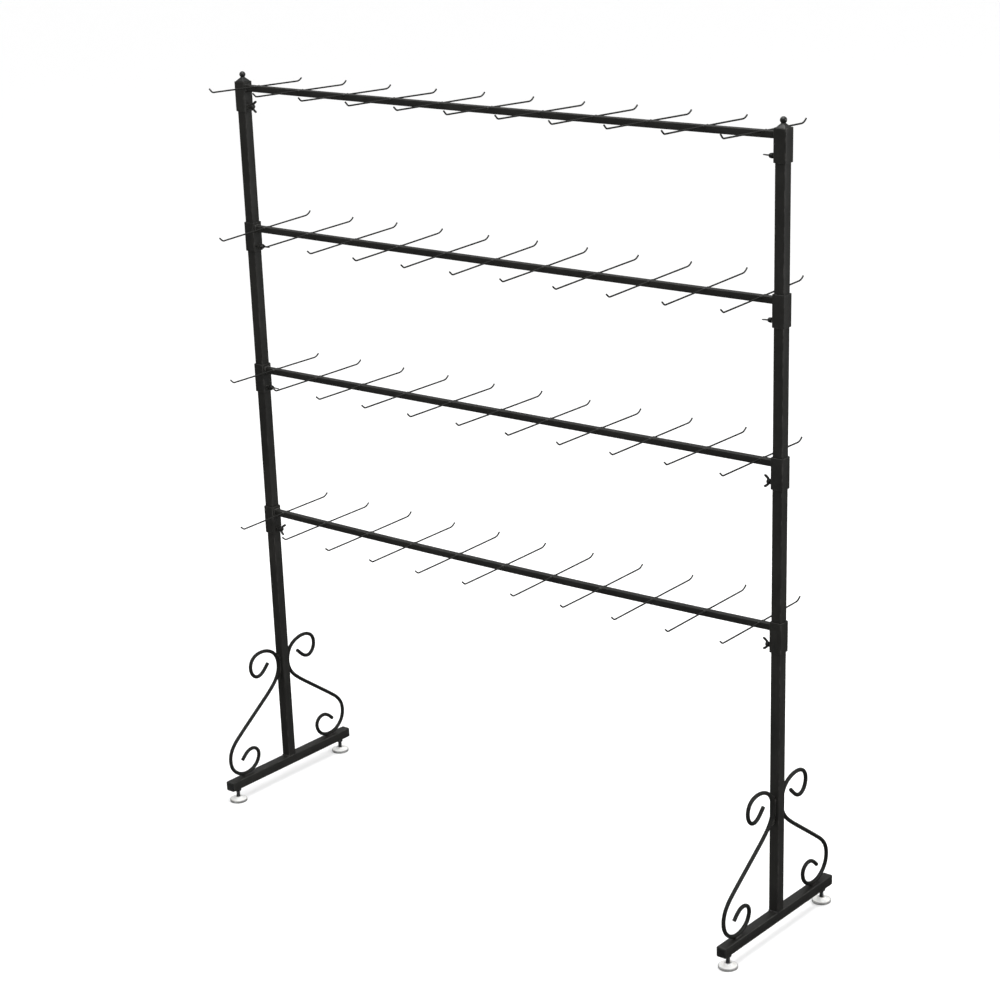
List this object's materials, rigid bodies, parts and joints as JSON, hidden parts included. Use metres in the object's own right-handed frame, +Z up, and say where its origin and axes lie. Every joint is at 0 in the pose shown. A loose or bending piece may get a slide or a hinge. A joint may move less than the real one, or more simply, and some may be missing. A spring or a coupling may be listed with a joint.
{
  "type": "free-standing hook display rack",
  "caption": "Free-standing shop rack of black square tube: height-adjustable rails of double-ended hooks between two scroll-braced end frames on levelling feet.",
  "frame": {"origin": "middle of the footprint, on the floor plane under the levelling pads", "axes": "+X along the hook rails from the left post to the right post, -Y to the front, +Z up"},
  "size_m": [1.338, 0.3806, 1.5691],
  "materials": {
    "black_paint": "satin black powder coat on steel tube and rod",
    "rail_paint": "satin black powder coat on the rail tube and its welded hook wires",
    "black_plastic": "moulded black plastic, slight sheen",
    "screw_black": "black-oxide cast wing screw",
    "dark_steel": "dark plated threaded stud and nuts",
    "pad_plastic": "white slightly translucent moulded plastic"
  },
  "bodies": {
    "frame": {"post_left": "black_paint", "finial_left": "black_plastic", "foot_bar_left": "black_paint", "foot_cap_left_front": "black_plastic", "scroll_left_front": "black_paint", "bar_nut_left_front": "dark_steel", "lock_nut_left_front": "dark_steel", "foot_cap_left_back": "black_plastic", "scroll_left_back": "black_paint", "bar_nut_left_back": "dark_steel", "lock_nut_left_back": "dark_steel", "post_right": "black_paint", "finial_right": "black_plastic", "foot_bar_right": "black_paint", "foot_cap_right_front": "black_plastic", "scroll_right_front": "black_paint", "bar_nut_right_front": "dark_steel", "lock_nut_right_front": "dark_steel", "foot_cap_right_back": "black_plastic", "scroll_right_back": "black_paint", "bar_nut_right_back": "dark_steel", "lock_nut_right_back": "dark_steel"},
    "rail_1": {"hook_rail_1": "rail_paint", "sleeve_1_left": "black_paint", "sleeve_nut_1_left": "black_paint", "sleeve_1_right": "black_paint", "sleeve_nut_1_right": "black_paint"},
    "rail_2": {"hook_rail_2": "rail_paint", "sleeve_2_left": "black_paint", "sleeve_nut_2_left": "black_paint", "sleeve_2_right": "black_paint", "sleeve_nut_2_right": "black_paint"},
    "rail_3": {"hook_rail_3": "rail_paint", "sleeve_3_left": "black_paint", "sleeve_nut_3_left": "black_paint", "sleeve_3_right": "black_paint", "sleeve_nut_3_right": "black_paint"},
    "rail_4": {"hook_rail_4": "rail_paint", "sleeve_4_left": "black_paint", "sleeve_nut_4_left": "black_paint", "sleeve_4_right": "black_paint", "sleeve_nut_4_right": "black_paint"},
    "wing_screw_1_left": {"wing_screw_1_left": "screw_black"},
    "wing_screw_1_right": {"wing_screw_1_right": "screw_black"},
    "wing_screw_2_left": {"wing_screw_2_left": "screw_black"},
    "wing_screw_2_right": {"wing_screw_2_right": "screw_black"},
    "wing_screw_3_left": {"wing_screw_3_left": "screw_black"},
    "wing_screw_3_right": {"wing_screw_3_right": "screw_black"},
    "wing_screw_4_left": {"wing_screw_4_left": "screw_black"},
    "wing_screw_4_right": {"wing_screw_4_right": "screw_black"},
    "foot_left_front": {"level_pad_left_front": "pad_plastic"},
    "stud_left_front": {"level_stud_left_front": "dark_steel"},
    "foot_left_back": {"level_pad_left_back": "pad_plastic"},
    "stud_left_back": {"level_stud_left_back": "dark_steel"},
    "foot_right_front": {"level_pad_right_front": "pad_plastic"},
    "stud_right_front": {"level_stud_right_front": "dark_steel"},
    "foot_right_back": {"level_pad_right_back": "pad_plastic"},
    "stud_right_back": {"level_stud_right_back": "dark_steel"}
  },
  "joints": [
    {"name": "rail_1_slide", "type": "slide", "parent": "frame", "child": "rail_1", "axis": [0, 0, 1], "range_m": [-0.1, 0.03]},
    {"name": "rail_2_slide", "type": "slide", "parent": "frame", "child": "rail_2", "axis": [0, 0, 1], "range_m": [-0.11, 0.11]},
    {"name": "rail_3_slide", "type": "slide", "parent": "frame", "child": "rail_3", "axis": [0, 0, 1], "range_m": [-0.11, 0.11]},
    {"name": "rail_4_slide", "type": "slide", "parent": "frame", "child": "rail_4", "axis": [0, 0, 1], "range_m": [-0.2, 0.11]},
    {"name": "wing_screw_1_left_turn", "type": "hinge", "parent": "rail_1", "child": "wing_screw_1_left", "pos_m": [-0.637, 0, 1.49942], "axis": [-1, 0, 0], "range_deg": [-450, 0]},
    {"name": "wing_screw_1_right_turn", "type": "hinge", "parent": "rail_1", "child": "wing_screw_1_right", "pos_m": [0.637, 0, 1.5003], "axis": [1, 0, 0], "range_deg": [-450, 0]},
    {"name": "wing_screw_2_left_turn", "type": "hinge", "parent": "rail_2", "child": "wing_screw_2_left", "pos_m": [-0.637, 0, 1.21135], "axis": [-1, 0, 0], "range_deg": [-450, 0]},
    {"name": "wing_screw_2_right_turn", "type": "hinge", "parent": "rail_2", "child": "wing_screw_2_right", "pos_m": [0.637, 0, 1.21097], "axis": [1, 0, 0], "range_deg": [-450, 0]},
    {"name": "wing_screw_3_left_turn", "type": "hinge", "parent": "rail_3", "child": "wing_screw_3_left", "pos_m": [-0.637, 0, 0.90866], "axis": [-1, 0, 0], "range_deg": [-450, 0]},
    {"name": "wing_screw_3_right_turn", "type": "hinge", "parent": "rail_3", "child": "wing_screw_3_right", "pos_m": [0.637, 0, 0.91262], "axis": [1, 0, 0], "range_deg": [-450, 0]},
    {"name": "wing_screw_4_left_turn", "type": "hinge", "parent": "rail_4", "child": "wing_screw_4_left", "pos_m": [-0.637, 0, 0.59144], "axis": [-1, 0, 0], "range_deg": [-450, 0]},
    {"name": "wing_screw_4_right_turn", "type": "hinge", "parent": "rail_4", "child": "wing_screw_4_right", "pos_m": [0.637, 0, 0.59684], "axis": [1, 0, 0], "range_deg": [-450, 0]},
    {"name": "foot_left_front_height", "type": "slide", "parent": "frame", "child": "foot_left_front", "axis": [0, 0, 1], "range_m": [-0.008, 0.008]},
    {"name": "stud_left_front_turn", "type": "hinge", "parent": "foot_left_front", "child": "stud_left_front", "pos_m": [-0.65, -0.166, 0.02], "axis": [0, 0, 1], "range_deg": [-2310, 2310]},
    {"name": "foot_left_back_height", "type": "slide", "parent": "frame", "child": "foot_left_back", "axis": [0, 0, 1], "range_m": [-0.008, 0.008]},
    {"name": "stud_left_back_turn", "type": "hinge", "parent": "foot_left_back", "child": "stud_left_back", "pos_m": [-0.65, 0.166, 0.02], "axis": [0, 0, 1], "range_deg": [-2310, 2310]},
    {"name": "foot_right_front_height", "type": "slide", "parent": "frame", "child": "foot_right_front", "axis": [0, 0, 1], "range_m": [-0.008, 0.008]},
    {"name": "stud_right_front_turn", "type": "hinge", "parent": "foot_right_front", "child": "stud_right_front", "pos_m": [0.65, -0.166, 0.02], "axis": [0, 0, 1], "range_deg": [-2310, 2310]},
    {"name": "foot_right_back_height", "type": "slide", "parent": "frame", "child": "foot_right_back", "axis": [0, 0, 1], "range_m": [-0.008, 0.008]},
    {"name": "stud_right_back_turn", "type": "hinge", "parent": "foot_right_back", "child": "stud_right_back", "pos_m": [0.65, 0.166, 0.02], "axis": [0, 0, 1], "range_deg": [-2310, 2310]}
  ],
  "couplings": [
    {"joint": "stud_left_front_turn", "follows": "foot_left_front_height", "rad_per_m": 5026.5},
    {"joint": "stud_left_back_turn", "follows": "foot_left_back_height", "rad_per_m": 5026.5},
    {"joint": "stud_right_front_turn", "follows": "foot_right_front_height", "rad_per_m": 5026.5},
    {"joint": "stud_right_back_turn", "follows": "foot_right_back_height", "rad_per_m": 5026.5}
  ]
}
